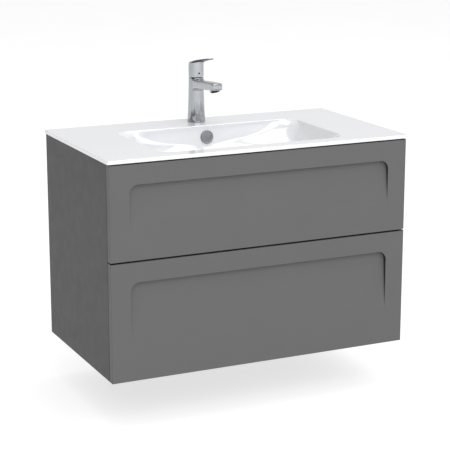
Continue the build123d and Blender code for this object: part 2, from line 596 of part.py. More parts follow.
with BuildPart() as lever:
    with BuildSketch(Plane.XZ.offset(-TAP_Y)):
        with BuildLine():
            rise = Line((CAP_R, CAP_BASE), (CAP_R, CAP_SHOULDER))
            dome = ThreePointArc(rise @ 1, (14.5, CAP_TOP - 3.2), (0, CAP_TOP))
            down = Line(dome @ 1, (0, HOLLOW_TOP))
            ceiling = Line(down @ 1, (CAP_R - CAP_WALL - 1.0, HOLLOW_TOP))
            inner = Line(ceiling @ 1, (CAP_R - CAP_WALL, HOLLOW_TOP - 3.0))
            wall = Line(inner @ 1, (CAP_R - CAP_WALL, CAP_BASE))
            Line(wall @ 1, rise @ 0)
        make_face()
    revolve(axis=Axis((0, TAP_Y, 0), (0, 0, 1)))
    add(blade.part)
    # the back of the skirt is cut away so that the cap can tilt over the body
    heel_clear = BODY_TOP - PIVOT_Z + 0.8
    tilt = radians(LEVER_LIFT)
    edge_y = TAP_Y + (heel_clear - (CAP_BASE - PIVOT_Z) * cos(tilt)) / -sin(tilt)
    far_y = TAP_Y + CAP_R + 5.0
    far_z = PIVOT_Z + (heel_clear + (far_y - TAP_Y) * sin(tilt)) / cos(tilt)
    with BuildSketch(Plane.YZ):
        with BuildLine():
            under_z = CAP_BASE - 5.0
            Polyline((edge_y, CAP_BASE), (far_y, far_z), (far_y, under_z), (edge_y, under_z), close=True)
        make_face()
    extrude(amount=CAP_R + 5.0, both=True, mode=Mode.SUBTRACT)
    index_end = (0, TAP_Y - CAP_R + 1.2, PIVOT_Z + 3.0)
    rod((0, TAP_Y - CAP_R - 1.0, PIVOT_Z + 3.0), index_end, INDEX_R, mode=Mode.SUBTRACT)
save(lever, "lever")

with BuildPart() as index_plug:
    rod((0, TAP_Y - CAP_R + 0.1, PIVOT_Z + 3.0), index_end, INDEX_R)
save(index_plug, "index_plug")

# Under the slab the tap is held by a stud, a rubber pad, a horseshoe washer and a nut.
with BuildPart() as tap_stud:
    disc(0, STUD_Y, (SEAT - 40.0, DECK + 16.0), 4.0)
save(tap_stud, "tap_stud")

for label, top, thick in (("tap_pad", SEAT, 3.0), ("tap_washer", SEAT - 3.0, 2.5)):
    with BuildPart() as horseshoe:
        disc(0, TAP_Y, (top - thick, top), 24.0)
        disc(0, TAP_Y + 6.0, (top - thick - 1, top + 1), 14.0, mode=Mode.SUBTRACT)
        block((-14.0, 14.0), (TAP_Y + 6.0, TAP_Y + 30.0), (top - thick - 1, top + 1), mode=Mode.SUBTRACT)
        disc(0, STUD_Y, (top - thick - 1, top + 1), 4.2, mode=Mode.SUBTRACT)
    save(horseshoe, label)

with BuildPart() as tap_nut:
    with BuildSketch(Plane.XY.offset(SEAT - 5.5 - 7.0)):
        with Locations((0, STUD_Y)):
            RegularPolygon(7.5, 6)
            Circle(4.05, mode=Mode.SUBTRACT)
    extrude(amount=7.0)
save(tap_nut, "tap_nut")


# ---------------------------------------------------------------- drawer fronts
def drawer_front(base, top, ramp):
    """Front panel whose sunk field is deepest under its top rail and fades out to flush below."""
    with BuildPart() as front:
        block((-HALF_W, HALF_W), (FRONT_Y, FRONT_BACK_Y), (base, top))
        fillet(front.faces().sort_by(Axis.Y)[0].edges(), FRONT_EDGE_R)
        lip = top - RECESS_TOP_W
        half = HALF_W - STILE_W
        with BuildSketch(Plane.YZ):
            with BuildLine():
                Polyline((FRONT_Y, lip), (FRONT_Y + RECESS_DEPTH, lip), (FRONT_Y, lip - ramp), close=True)
            make_face()
        extrude(amount=half, both=True, mode=Mode.SUBTRACT)
        corners = front.edges().filter_by(Axis.Y).filter_by_position(Axis.Z, lip - 0.1, lip + 0.1)
        fillet(corners, RECESS_R)
        # the fingers hook into a groove behind the top rail's lower lip
        length, width, height = FINGER_GROOVE
        groove_y = (FRONT_Y + RECESS_DEPTH - width, FRONT_Y + RECESS_DEPTH)
        block((-length / 2, length / 2), groove_y, (lip - 1.0, lip + height), mode=Mode.SUBTRACT)
    return front


save(drawer_front(UPPER_BASE, UPPER_TOP, UPPER_RAMP), "upper_drawer_front")
save(drawer_front(BASE, LOWER_TOP, LOWER_RAMP), "lower_drawer_front")


# ---------------------------------------------------------------- drawer boxes
def box_side(side, base, height):
    """Side wall of a drawer box, with the groove that its bottom slides into."""
    with BuildPart() as wall:
        block((side * (BOX_HALF - BOX_T), side * BOX_HALF), (FRONT_BACK_Y, BOX_BACK), (base, base + height))
        slot_x = (side * (BOX_HALF - BOX_T - 1.0), side * (BOX_HALF - BOX_T + GROOVE + 0.3))
        slot_z = (base + GROOVE * 2 - 0.1, base + GROOVE * 2 + BOX_BOTTOM_T + 0.1)
        block(slot_x, (FRONT_BACK_Y - 1.0, BOX_BACK + 1.0), slot_z, mode=Mode.SUBTRACT)
        fillet(wall.edges().filter_by(Axis.Y).group_by(Axis.Z)[-1], 1.0)
    return wall


def front_brackets(base, height):
    """Four angle brackets that hold a front to its box."""
    with BuildPart() as brackets:
        for hand, side in sides():
            for z in (base + 30.0, base + height - 25.0):
                inside = side * (BOX_HALF - BOX_T)
                block((inside, inside - side * 2.0), (FRONT_BACK_Y, FRONT_BACK_Y + 34.0), (z - 9.0, z + 9.0))
                block((inside, inside - side * 22.0), (FRONT_BACK_Y, FRONT_BACK_Y + 2.0), (z - 9.0, z + 9.0))
    return brackets


INSIDE = BOX_HALF - BOX_T

for drawer, base, height in (("upper", UPPER_BOX_Z, UPPER_BOX_H), ("lower", LOWER_BOX_Z, LOWER_BOX_H)):
    for hand, side in sides():
        save(box_side(side, base, height), f"{drawer}_box_{hand}")
    save(front_brackets(base, height), f"{drawer}_front_brackets")
    floor_z = (base + GROOVE * 2, base + GROOVE * 2 + BOX_BOTTOM_T)
    with BuildPart() as box_bottom:
        block((-INSIDE - GROOVE, INSIDE + GROOVE), (FRONT_BACK_Y, BOX_BACK), floor_z)
        if drawer == "upper":
            disc(0, DRAIN_Y, (floor_z[0] - 1, floor_z[1] + 1), CUTOUT_R, mode=Mode.SUBTRACT)
            slot = (DRAIN_Y, BOX_BACK + 1.0)
            block((-CUTOUT_R, CUTOUT_R), slot, (floor_z[0] - 1, floor_z[1] + 1), mode=Mode.SUBTRACT)
    save(box_bottom, f"{drawer}_box_bottom")

# The upper box is open at the back round the trap, behind a bent surround.
wall_z = (UPPER_BOX_Z + GROOVE * 2 + BOX_BOTTOM_T, UPPER_BOX_Z + UPPER_BOX_H)
with BuildPart() as trap_surround:
    outside = CUTOUT_R + SURROUND_T
    disc(0, DRAIN_Y, wall_z, outside)
    block((-outside, outside), (DRAIN_Y, BOX_BACK), wall_z)
    reach = (wall_z[0] - 1, wall_z[1] + 1)
    disc(0, DRAIN_Y, reach, CUTOUT_R, mode=Mode.SUBTRACT)
    block((-CUTOUT_R, CUTOUT_R), (DRAIN_Y, BOX_BACK + 1), reach, mode=Mode.SUBTRACT)
save(trap_surround, "trap_surround")

with BuildPart() as upper_backs:
    for hand, side in sides():
        block((side * outside, side * INSIDE), (BOX_BACK - BOX_T, BOX_BACK), wall_z)
save(upper_backs, "upper_box_back")

with BuildPart() as lower_back:
    back_z = (LOWER_BOX_Z + GROOVE * 2 + BOX_BOTTOM_T, LOWER_BOX_Z + LOWER_BOX_H)
    block((-INSIDE, INSIDE), (BOX_BACK - BOX_T, BOX_BACK), back_z)
save(lower_back, "lower_box_back")


# ---------------------------------------------------------------- telescopic runners
def channel(side, level, web, tips, half_height, y_range):
    """One C-shaped runner member; distances across it are counted from the side panel's inner face."""
    x_web = (side * (INNER - web[0]), side * (INNER - web[1]))
    block(x_web, y_range, (level - half_height, level + half_height))
    x_flange = (side * (INNER - tips[0]), side * (INNER - tips[1]))
    for way in (-1, 1):
        flange_z = (level + way * half_height, level + way * (half_height - SHEET))
        block(x_flange, y_range, flange_z)


RUNNER_Y = (-PANEL_D + 2.0, -PANEL_D + 2.0 + RUNNER_L)
MIDDLE_Y = (RUNNER_Y[0] + 4.0, RUNNER_Y[0] + 4.0 + MIDDLE_L)

for drawer, level in (("upper", UPPER_BOX_Z + 43.0), ("lower", LOWER_BOX_Z + 60.0)):
    with BuildPart() as cabinet_members:
        for hand, side in sides():
            channel(side, level, (0, SHEET), (0, 11.6), RUNNER_H / 2, RUNNER_Y)
    save(cabinet_members, f"{drawer}_cabinet_rails")
    with BuildPart() as middle_members:
        for hand, side in sides():
            channel(side, level, (3.0, 3.0 + SHEET), (3.0, 11.2), 20.2, MIDDLE_Y)
    save(middle_members, f"{drawer}_middle_rails")
    with BuildPart() as drawer_members:
        for hand, side in sides():
            channel(side, level, (RUNNER_T - SHEET, RUNNER_T), (5.8, RUNNER_T), 17.0, RUNNER_Y)
    save(drawer_members, f"{drawer}_drawer_rails")
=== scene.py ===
import json
from math import atan, cos, pi, radians, sin, tan

import bmesh
import bpy
from mathutils import Matrix, Vector


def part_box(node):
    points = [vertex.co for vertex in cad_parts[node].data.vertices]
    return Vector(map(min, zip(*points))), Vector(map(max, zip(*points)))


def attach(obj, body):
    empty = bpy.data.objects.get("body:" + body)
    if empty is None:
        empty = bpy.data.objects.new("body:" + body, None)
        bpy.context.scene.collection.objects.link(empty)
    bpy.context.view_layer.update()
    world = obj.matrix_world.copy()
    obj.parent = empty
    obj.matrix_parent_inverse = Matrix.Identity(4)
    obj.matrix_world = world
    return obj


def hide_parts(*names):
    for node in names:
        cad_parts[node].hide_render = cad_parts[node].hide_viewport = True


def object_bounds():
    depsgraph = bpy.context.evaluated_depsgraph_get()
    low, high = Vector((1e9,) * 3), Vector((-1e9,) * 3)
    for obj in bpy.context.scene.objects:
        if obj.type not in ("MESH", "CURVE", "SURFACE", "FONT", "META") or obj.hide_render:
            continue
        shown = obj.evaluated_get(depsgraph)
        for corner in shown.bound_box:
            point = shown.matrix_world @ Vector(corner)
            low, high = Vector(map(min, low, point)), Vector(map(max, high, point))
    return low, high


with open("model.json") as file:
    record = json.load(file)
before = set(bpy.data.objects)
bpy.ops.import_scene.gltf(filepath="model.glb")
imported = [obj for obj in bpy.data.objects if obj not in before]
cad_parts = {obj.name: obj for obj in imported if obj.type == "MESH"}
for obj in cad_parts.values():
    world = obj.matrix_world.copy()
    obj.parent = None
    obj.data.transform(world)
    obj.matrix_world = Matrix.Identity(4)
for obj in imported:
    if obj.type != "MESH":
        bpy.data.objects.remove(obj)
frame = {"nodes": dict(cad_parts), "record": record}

cad_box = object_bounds()
MM = 0.001

# ---------------------------------------------------------------- places taken from the frame
slab_low, slab_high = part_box("basin")
DECK = slab_high.z
SLAB_HALF, SLAB_FRONT = slab_high.x, slab_low.y
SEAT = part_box("basin_seal")[1].z
plug_low, plug_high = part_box("drain_plug")
DRAIN = Vector(((plug_low.x + plug_high.x) / 2, (plug_low.y + plug_high.y) / 2, plug_high.z - 4 * MM))
FLOOR = DRAIN.z
flange_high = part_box("waste_flange")[1]
tap_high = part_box("tap_body")[1]
TAP = Vector((0, tap_high.y - 24 * MM, DECK))


# ---------------------------------------------------------------- materials
PATTERN_LOW, PATTERN_HIGH = 0.3, 0.7  # most of a noise pattern's values lie between these


def shader_inputs(made):
    """The sockets of the material's shader."""
    return made.node_tree.nodes["Principled BSDF"].inputs


def material(name, roughness, metallic=0.0, ior=1.5, specular=0.5):
    """A new material with its uniform values set on the shader."""
    made = bpy.data.materials.new(name)
    made.use_nodes = True
    sockets = shader_inputs(made)
    sockets["Roughness"].default_value = roughness
    sockets["Metallic"].default_value = metallic
    sockets["IOR"].default_value = ior
    sockets["Specular IOR Level"].default_value = specular
    return made


def node(made, kind, links=(), **values):
    """Add a node, set its inputs or settings, and link (input name, output socket) pairs into it."""
    new = made.node_tree.nodes.new(kind)
    for key, value in values.items():
        if key in new.inputs:
            new.inputs[key].default_value = value
        else:
            setattr(new, key, value)
    for key, socket in links:
        made.node_tree.links.new(socket, new.inputs[key])
    return new


def shader_input(made, name, socket):
    """Drive one input of the material's shader."""
    made.node_tree.links.new(socket, shader_inputs(made)[name])


def place(made, cell, stretch=(1, 1, 1), turn=(0, 0, 0)):
    """Coordinates fixed to the piece, one unit to a cell of the given size in metres."""
    coordinates = node(made, "ShaderNodeTexCoord").outputs["Object"]
    mapping = node(made, "ShaderNodeMapping", [("Vector", coordinates)])
    mapping.inputs["Scale"].default_value = [1 / (cell * s) for s in stretch]
    mapping.inputs["Rotation"].default_value = turn
    return mapping.outputs["Vector"]


def noise(made, cell, detail=3.0, stretch=(1, 1, 1)):
    """Cloudy pattern with cells of the given size."""
    links = [("Vector", place(made, cell, stretch))]
    return node(made, "ShaderNodeTexNoise", links, Scale=1.0, Detail=detail).outputs["Fac"]


def chips(made, cell, output="Color"):
    """Irregular flakes, each with a value of its own."""
    links = [("Vector", place(made, cell))]
    return node(made, "ShaderNodeTexVoronoi", links, Scale=1.0).outputs[output]


def tint(made, pattern, dark, light, low=PATTERN_LOW, high=PATTERN_HIGH):
    """Base colour that runs between two linear colours with the pattern."""
    ramp = node(made, "ShaderNodeValToRGB", [("Fac", pattern)])
    for stop, colour, position in zip(ramp.color_ramp.elements, (dark, light), (low, high)):
        stop.color = (*colour, 1.0)
        stop.position = position
    shader_input(made, "Base Color", ramp.outputs["Color"])


def sheen_range(made, pattern, low, high):
    """Roughness that runs between two values with the pattern."""
    values = {"From Min": PATTERN_LOW, "From Max": PATTERN_HIGH, "To Min": low, "To Max": high}
    spread = node(made, "ShaderNodeMapRange", [("Value", pattern)], **values)
    shader_input(made, "Roughness", spread.outputs["Result"])


def relief(made, *layers):
    """Surface relief from (pattern, depth in metres) layers."""
    normal = None
    for pattern, depth in layers:
        links = [("Height", pattern)] + ([("Normal", normal)] if normal else [])
        normal = node(made, "ShaderNodeBump", links, Distance=depth).outputs["Normal"]
    shader_input(made, "Normal", normal)


def grey(level, warm=0.0):
    """A near neutral linear colour, warmer with a positive second value."""
    return (level * (1 + warm), level, level * (1 - warm))


def lacquer(name, level):
    """Matte sprayed lacquer on fibreboard: fine orange peel and faint clouding."""
    made = material(name, 0.5, specular=0.12)
    tint(made, noise(made, 90 * MM), grey(level * 0.99), grey(level * 1.01))
    sheen_range(made, noise(made, 30 * MM), 0.46, 0.54)
    relief(made, (noise(made, 1.6 * MM, 1.0), 0.012 * MM), (noise(made, 0.35 * MM, 1.0), 0.004 * MM))
    return made


def melamine(name, level):
    """Melamine faced board with a pearl-textured face."""
    made = material(name, 0.45)
    tint(made, noise(made, 5 * MM, 6.0), grey(level * 0.93), grey(level * 1.06))
    sheen_range(made, noise(made, 12 * MM), 0.38, 0.52)
    relief(made, (chips(made, 0.9 * MM, "Distance"), 0.03 * MM), (noise(made, 0.3 * MM, 1.0), 0.01 * MM))
    return made


def glazed():
    """White sanitary ceramic under a clear glaze."""
    made = material("glazed_ceramic", 0.06, ior=2.3)
    tint(made, noise(made, 120 * MM), (0.79, 0.795, 0.815), (0.81, 0.815, 0.835))
    sheen_range(made, noise(made, 40 * MM), 0.05, 0.08)
    relief(made, (noise(made, 45 * MM, 1.0), 0.03 * MM))
    return made


def plated(name, dark, light, rough, smooth):
    """Polished plating with faint wipe marks."""
    made = material(name, rough, metallic=1.0)
    tint(made, noise(made, 25 * MM), dark, light)
    sheen_range(made, noise(made, 9 * MM, 5.0, (1, 1, 3)), smooth, rough)
    relief(made, (noise(made, 14 * MM, 1.0), 0.006 * MM))
    return made


def spun():
    """Satin plating of the overflow cover, whose rings are in its mesh."""
    made = material("spun_cover", 0.4, metallic=1.0)
    tint(made, noise(made, 12 * MM), (0.24, 0.25, 0.27), (0.29, 0.3, 0.32))
    sheen_range(made, noise(made, 3 * MM, 4.0), 0.34, 0.44)
    relief(made, (noise(made, 0.6 * MM, 2.0), 0.008 * MM))
    return made


def galvanised():
    """Zinc plated sheet steel with spangle and rolling marks."""
    made = material("zinc_steel", 0.4, metallic=1.0)
    tint(made, chips(made, 5 * MM), (0.42, 0.43, 0.44), (0.62, 0.63, 0.64), 0.1, 0.9)
    sheen_range(made, noise(made, 2 * MM, 4.0, (1, 12, 1)), 0.28, 0.46)
    relief(made, (noise(made, 0.5 * MM, 2.0, (1, 30, 1)), 0.01 * MM))
    return made


def turned_brass():
    """Bare brass with lathe rings."""
    made = material("raw_brass", 0.35, metallic=1.0)
    tint(made, noise(made, 8 * MM), (0.50, 0.34, 0.12), (0.68, 0.48, 0.2))
    sheen_range(made, noise(made, 3 * MM), 0.25, 0.42)
    relief(made, (noise(made, 0.4 * MM, 1.0, (60, 60, 1)), 0.02 * MM))
    return made


def moulded(name, dark, light, roughness, ior=1.49):
    """Injection moulded plastic with a fine spark texture and slow flow marks."""
    made = material(name, roughness, ior=ior)
    tint(made, noise(made, 18 * MM, 4.0), dark, light)
    sheen_range(made, noise(made, 6 * MM), roughness - 0.06, roughness + 0.08)
    relief(made, (noise(made, 0.6 * MM, 2.0), 0.012 * MM), (noise(made, 22 * MM, 1.0), 0.05 * MM))
    return made


def rubber(name, dark, light):
    """Moulded rubber with a dusty bloom."""
    made = material(name, 0.7)
    tint(made, noise(made, 4 * MM, 6.0), dark, light)
    sheen_range(made, noise(made, 3 * MM), 0.6, 0.82)
    relief(made, (noise(made, 0.4 * MM, 3.0), 0.03 * MM))
    return made


finishes = {
    "front_lacquer": lacquer("front_lacquer", 0.13),
    # painted shade: the fronts' lacquer made near-black for the upright walls of the sunk field
    "painted_shade_wall": lacquer("painted_shade_wall", 0.035),
    # painted shade: the side panels' lacquer is the fronts' lacquer made darker for the shade on the
    # cabinet's side
    "side_lacquer": lacquer("side_lacquer", 0.083),
    "carcass_board": melamine("carcass_board", 0.14),
    "drawer_board": melamine("drawer_board", 0.36),
    "glazed_ceramic": glazed(),
    "tap_chrome": plated("tap_chrome", (0.385, 0.4, 0.42), (0.44, 0.455, 0.475), 0.09, 0.04),
    "spun_cover": spun(),
    "zinc_steel": galvanised(),
    "raw_brass": turned_brass(),
    "trap_plastic": moulded("trap_plastic", (0.72, 0.72, 0.7), (0.78, 0.78, 0.76), 0.35),
    "black_rubber": rubber("black_rubber", grey(0.012), grey(0.022)),
    "seal_bead": rubber("seal_bead", (0.024, 0.016, 0.013), (0.034, 0.023, 0.019)),
    "bumper_silicone": moulded("bumper_silicone", grey(0.5), grey(0.58), 0.3, 1.41),
    "dark_plastic": moulded("dark_plastic", grey(0.01), grey(0.018), 0.4),
    "surround_plastic": moulded("surround_plastic", grey(0.2), grey(0.24), 0.42),
}
slot_of = {part["node"]: part["material_slot"] for part in frame["record"]["subparts"]}


# ---------------------------------------------------------------- mesh helpers
def rounded_outline(half, back, front, back_corner, front_corner, straight=(22, 12), arc=18):
    """Anticlockwise points (x, y, outward x, outward y) of a rectangle with elliptical corners.

    A corner is given as (run x, run y), and arc and straight are the steps to a corner and a side.
    """
    (bx, by), (fx, fy) = back_corner, front_corner
    corners = (
        (half - fx, front + fy, fx, fy, -90),
        (half - bx, back - by, bx, by, 0),
        (bx - half, back - by, bx, by, 90),
        (fx - half, front + fy, fx, fy, 180),
    )
    points = []
    for index, (x, y, rx, ry, start) in enumerate(corners):
        for step in range(arc + 1):
            a = radians(start + 90 * step / arc)
            outward = Vector((cos(a) / rx, sin(a) / ry)).normalized()
            points.append((x + rx * cos(a), y + ry * sin(a), outward.x, outward.y))
        nx, ny, nrx, nry, nstart = corners[(index + 1) % 4]
        a = radians(nstart)
        x0, y0 = points[-1][:2]
        x1, y1 = nx + nrx * cos(a), ny + nry * sin(a)
        steps = straight[1] if index % 2 == 0 else straight[0]
        for step in range(1, steps):
            t = step / steps
            points.append((x0 + (x1 - x0) * t, y0 + (y1 - y0) * t, cos(a), sin(a)))
    return points


def ring(bm, places):
    """One closed row of vertices."""
    return [bm.verts.new(p) for p in places]


def join(bm, first, second):
    """Quads between two closed rows of equal length."""
    count = len(first)
    for i in range(count):
        j = (i + 1) % count
        bm.faces.new((first[i], first[j], second[j], second[i]))


def close_ends(bm, rows):
    """A flat face over the first row and one over the last."""
    bm.faces.new(rows[0])
    bm.faces.new(rows[-1])


def skin(bm, rows, loop=False):
    """Quads between each row and the next; with loop, the last row also meets the first."""
    for first, second in zip(rows, rows[1:]):
        join(bm, first, second)
    if loop:
        join(bm, rows[-1], rows[0])


def piece(name, bm, body, slot, *stands_for, sharp=35, levels=0, material_slots=None):
    """Turn a mesh under construction into a finished piece that rides on a body."""
    bmesh.ops.remove_doubles(bm, verts=bm.verts, dist=1e-6)
    bmesh.ops.recalc_face_normals(bm, faces=bm.faces)
    for edge in bm.edges:
        crisp = edge.is_manifold and edge.calc_face_angle() > radians(sharp)
        edge.smooth = not crisp
    mesh = bpy.data.meshes.new(name)
    bm.to_mesh(mesh)
    bm.free()
    made = bpy.data.objects.new(name, mesh)
    bpy.context.scene.collection.objects.link(made)
    mesh.polygons.foreach_set("use_smooth", [True] * len(mesh.polygons))
    for each in material_slots or [slot]:
        mesh.materials.append(finishes[each])
    if levels:
        smooth = made.modifiers.new("smooth", "SUBSURF")
        smooth.levels = smooth.render_levels = levels
    else:
        weighted = made.modifiers.new("flat_faces", "WEIGHTED_NORMAL")
        weighted.keep_sharp = True
    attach(made, body)
    if stands_for:
        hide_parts(*stands_for)
    return made


def lathe(bm, profile, centre, axis, steps):
    """Surface of revolution from (radius, distance along the axis) points, with both ends closed flat."""
    turn = Vector((0, 0, 1)).rotation_difference(axis.normalized()).to_matrix().to_4x4()
    frame_of_axis = Matrix.Translation(centre) @ turn
    angles = [2 * pi * step / steps for step in range(steps)]
    rows = []
    for radius, along in profile:
        circle = [Vector((radius * cos(a), radius * sin(a), along)) for a in angles]
        rows.append(ring(bm, [frame_of_axis @ point for point in circle]))
    skin(bm, rows)
    close_ends(bm, rows)


# ---------------------------------------------------------------- basin
RIM_HALF, RIM_BACK, RIM_FRONT = 252 * MM, -112 * MM, -410 * MM
LEAN = {"side": 47 / 98, "back": 12 / 98, "front": 32 / 98}  # run of each wall per depth
FOOT = {"side": 60 * MM, "back": 59 * MM, "front": 50 * MM}  # radius where each wall meets the floor
RIM_R = 3.5 * MM
BOWL_DEPTH = DECK - FLOOR
FLOOR_FALL = 1.2 * MM
FLANGE_SEAT_R = flange_high.x + 1 * MM
SLAB_R, SLAB_CORNER, LEAST_CORNER = 1.6 * MM, 4 * MM, 0.4 * MM

# the back and the front corners of the bowl: radius at the rim, half width of that wall's straight part just
# below it, depth at which that part is gone, and the corner's share of the bowl's length below the rim
CORNERS = ((28 * MM, 184 * MM, 47 * MM, 0.15), (48 * MM, 170 * MM, 60 * MM, 0.22))
FLOOR_SHARE = 0.485  # the corners' share of the bowl's length at the floor
LEAST_STRAIGHT = 12 * MM
SETTLE_DEPTH = 9 * MM  # over which the rim's corners change into the bowl's


def wall_profile(lean, foot, depth):
    """(inward offset, depth) points from the deck over the rounded rim, down the wall and onto the floor."""
    tilt = atan(lean)
    sweep = pi / 2 - tilt
    rim_run = RIM_R * tan(sweep / 2)
    points = []
    for step in range(6):
        a = sweep * step / 5
        points.append((-rim_run + RIM_R * sin(a), RIM_R * (1 - cos(a))))
    foot_run = foot * tan(sweep / 2)
    low = depth - foot_run * cos(tilt)
    start = points[-1][1]
    for step in range(1, 8):
        d = start + (low - start) * step / 8
        points.append((d * lean, d))
    end = depth * lean + foot_run
    for step in range(13):
        a = tilt + sweep * step / 12
        points.append((end - foot * cos(a), depth - foot * (1 - sin(a))))
    return points


def sunk_row(outline, side_d, back_d, front_d):
    """Points of an outline whose sides, back and front each lie at a depth of their own below the deck."""
    row = []
    for x, y, nx, ny in outline:
        end_d = back_d if ny > 0 else front_d
        row.append(Vector((x, y, DECK - (nx * nx * side_d + ny * ny * end_d))))
    return row


def bowl_rows():
    """Rows of points from the rim to the edge of the drain, inside the bowl."""
    depth = BOWL_DEPTH - FLOOR_FALL
    profiles = {side: wall_profile(LEAN[side], FOOT[side], depth) for side in LEAN}
    rows = []
    for (side, side_d), (back, back_d), (front, front_d) in zip(*profiles.values()):
        part = back_d / depth
        settle = min(1.0, back_d / SETTLE_DEPTH)
        settle = settle * settle * (3 - 2 * settle)
        half, y_back, y_front = RIM_HALF - side, RIM_BACK - back, RIM_FRONT + front
        extent = y_back - y_front
        corners = []
        for rim_r, straight, gone_at, share in CORNERS:
            left = max(0.0, 1 - (max(back_d, 0) / gone_at) ** 2) ** 0.5
            straight_now = max(LEAST_STRAIGHT, straight * left)
            run_x = rim_r * (1 - settle) + (half - straight_now) * settle
            run_y = rim_r * (1 - settle) + extent * (share + (FLOOR_SHARE - share) * part ** 0.8) * settle
            corners.append((run_x, run_y))
        outline = rounded_outline(half, y_back, y_front, *corners)
        rows.append(sunk_row(outline, side_d, back_d, front_d))
    edge = rows[-1]
    for step in range(1, 9):
        t = step / 8
        row = []
        for point in edge:
            away = Vector((point.x - DRAIN.x, point.y - DRAIN.y, 0)).normalized()
            circle = DRAIN + away * FLANGE_SEAT_R
            mixed = point.lerp(circle, t)
            mixed.z = FLOOR + FLOOR_FALL * (1 - t) ** 2
            row.append(mixed)
        rows.append(row)
    return rows


def circle_row(like, radius, height):
    """The points of one row drawn onto a circle round the drain."""
    row = []
    for point in like:
        away = Vector((point.x - DRAIN.x, point.y - DRAIN.y, 0)).normalized()
        row.append(Vector((DRAIN.x, DRAIN.y, 0)) + away * radius + Vector((0, 0, height)))
    return row


def slab_row(inset, height):
    """One row round the slab's edge."""
    radius = max(SLAB_CORNER - inset, LEAST_CORNER)
    corner = (radius, radius)
    outline = rounded_outline(SLAB_HALF - inset, -inset, SLAB_FRONT + inset, corner, corner)
    return [Vector((x, y, height)) for x, y, nx, ny in outline]


def hull_rows():
    """Rows of the bowl's outside, from the slab's underside to the boss round the drain."""
    wall, foot = 9 * MM, 51 * MM
    depth = BOWL_DEPTH + wall
    rows = []
    seat = DECK - SEAT
    tops = {"side": -8 * MM, "back": -8 * MM, "front": -4 * MM}  # how far outside the rim each wall starts
    leans = {"side": 46 / 107, "back": 11 / 107, "front": 27 / 107}
    profiles = []
    for side in LEAN:
        tilt = atan(leans[side])
        sweep = pi / 2 - tilt
        run = foot * tan(sweep / 2)
        low = depth - run * cos(tilt)
        points = []
        for step in range(5):
            d = seat + (low - seat) * step / 5
            points.append((tops[side] + d * leans[side], d))
        end = tops[side] + depth * leans[side] + run
        for step in range(10):
            a = tilt + sweep * step / 9
            points.append((end - foot * cos(a), depth - foot * (1 - sin(a))))
        profiles.append(points)
    for (side, side_d), (back, back_d), (front, front_d) in zip(*profiles):
        part = back_d / depth
        r_back, r_front = (36 + 78 * part) * MM, (54 + 60 * part) * MM  # wider towards the floor
        ends = (RIM_BACK - back, RIM_FRONT + front)
        outline = rounded_outline(RIM_HALF - side, *ends, (r_back, r_back), (r_front, r_front))
        rows.append(sunk_row(outline, side_d, back_d, front_d))
    return rows


def make_basin():
    """Slab, bowl, drain and outer hull as one closed surface."""
    bm = bmesh.new()
    boss_face = slab_low.z
    turns = [radians(90 * step / 12) for step in range(12, -1, -1)]
    edge = [slab_row(SLAB_R * (1 - sin(a)), DECK - SLAB_R * (1 - cos(a))) for a in turns]
    inner = bowl_rows()
    under = [slab_row(0.8 * MM, SEAT), slab_row(0.25 * MM, SEAT + 0.25 * MM), slab_row(0, SEAT + 0.8 * MM)]
    hull = hull_rows()
    hull_floor = hull[-1][0].z
    hole_r, boss_r = 23 * MM, 42 * MM
    drain = [circle_row(inner[-1], r, z) for r, z in (
        (FLANGE_SEAT_R, FLOOR - 3 * MM), (hole_r, FLOOR - 3 * MM), (hole_r, boss_face + 1 * MM),
        (hole_r + 1 * MM, boss_face), (boss_r - 2 * MM, boss_face), (boss_r - 0.6 * MM, boss_face + 0.6 * MM),
        (boss_r, boss_face + 2 * MM), (boss_r, hull_floor - 6 * MM),
        (boss_r + 1.8 * MM, hull_floor - 1.8 * MM), (boss_r + 6 * MM, hull_floor),
    )]
    skin(bm, [ring(bm, row) for row in under + edge + inner + drain + hull[::-1]], loop=True)
    return piece("basin_ceramic", bm, "cabinet", "glazed_ceramic", "basin")


def make_duct():
    """Overflow duct cast onto the bowl, down behind the back wall and forward under the floor."""
    bm = bmesh.new()
    half, behind, under = 30 * MM, -82 * MM, slab_low.z
    channel_top = FLOOR - 5 * MM
    wall_back = RIM_BACK + 2 * MM
    foot = FOOT["back"] - 4 * MM
    bend = [(wall_back - foot * (1 - cos(a)), channel_top + foot * (1 - sin(a)))
            for a in [radians(90 * step / 10) for step in range(11)]]
    mouth_y = DRAIN.y + 26 * MM  # inside the boss's wall, behind the drain's bore
    profile = [(behind, SEAT), (behind, under), (mouth_y, under), (mouth_y, channel_top)]
    profile += bend[::-1] + [(wall_back, SEAT)]
    sections = [[bm.verts.new((x, y, z)) for y, z in profile] for x in (-half, half)]
    join(bm, *sections)
    for section in sections:
        bm.faces.new(section)
    bmesh.ops.recalc_face_normals(bm, faces=bm.faces)
    sharp = [e for e in bm.edges if e.calc_face_angle() > radians(40)]
    bmesh.ops.bevel(
        bm, geom=sharp, offset=4 * MM, segments=3, profile=0.5, affect="EDGES", clamp_overlap=True,
    )
    return piece("basin_overflow_duct", bm, "cabinet", "glazed_ceramic", "basin")


make_basin()
make_duct()


# ---------------------------------------------------------------- drawer fronts
EDGE_R = 1.2 * MM
STILE = 50.5 * MM
RAIL = 50 * MM
RECESS = 12 * MM
RECESS_CORNER = 22 * MM
LIP_R = 0.6 * MM
GROOVE_HALF, GROOVE_H = 300 * MM, 8 * MM
GROOVE_FACE = 6 * MM
BACK_R = 0.6 * MM
# both places hold painted shade: the front's dark top edge and the dark walls of its sunk field
SHADED_TOP_EDGE, PAINTED_SHADE_WALL = 1, 2  # places in a front's list of materials


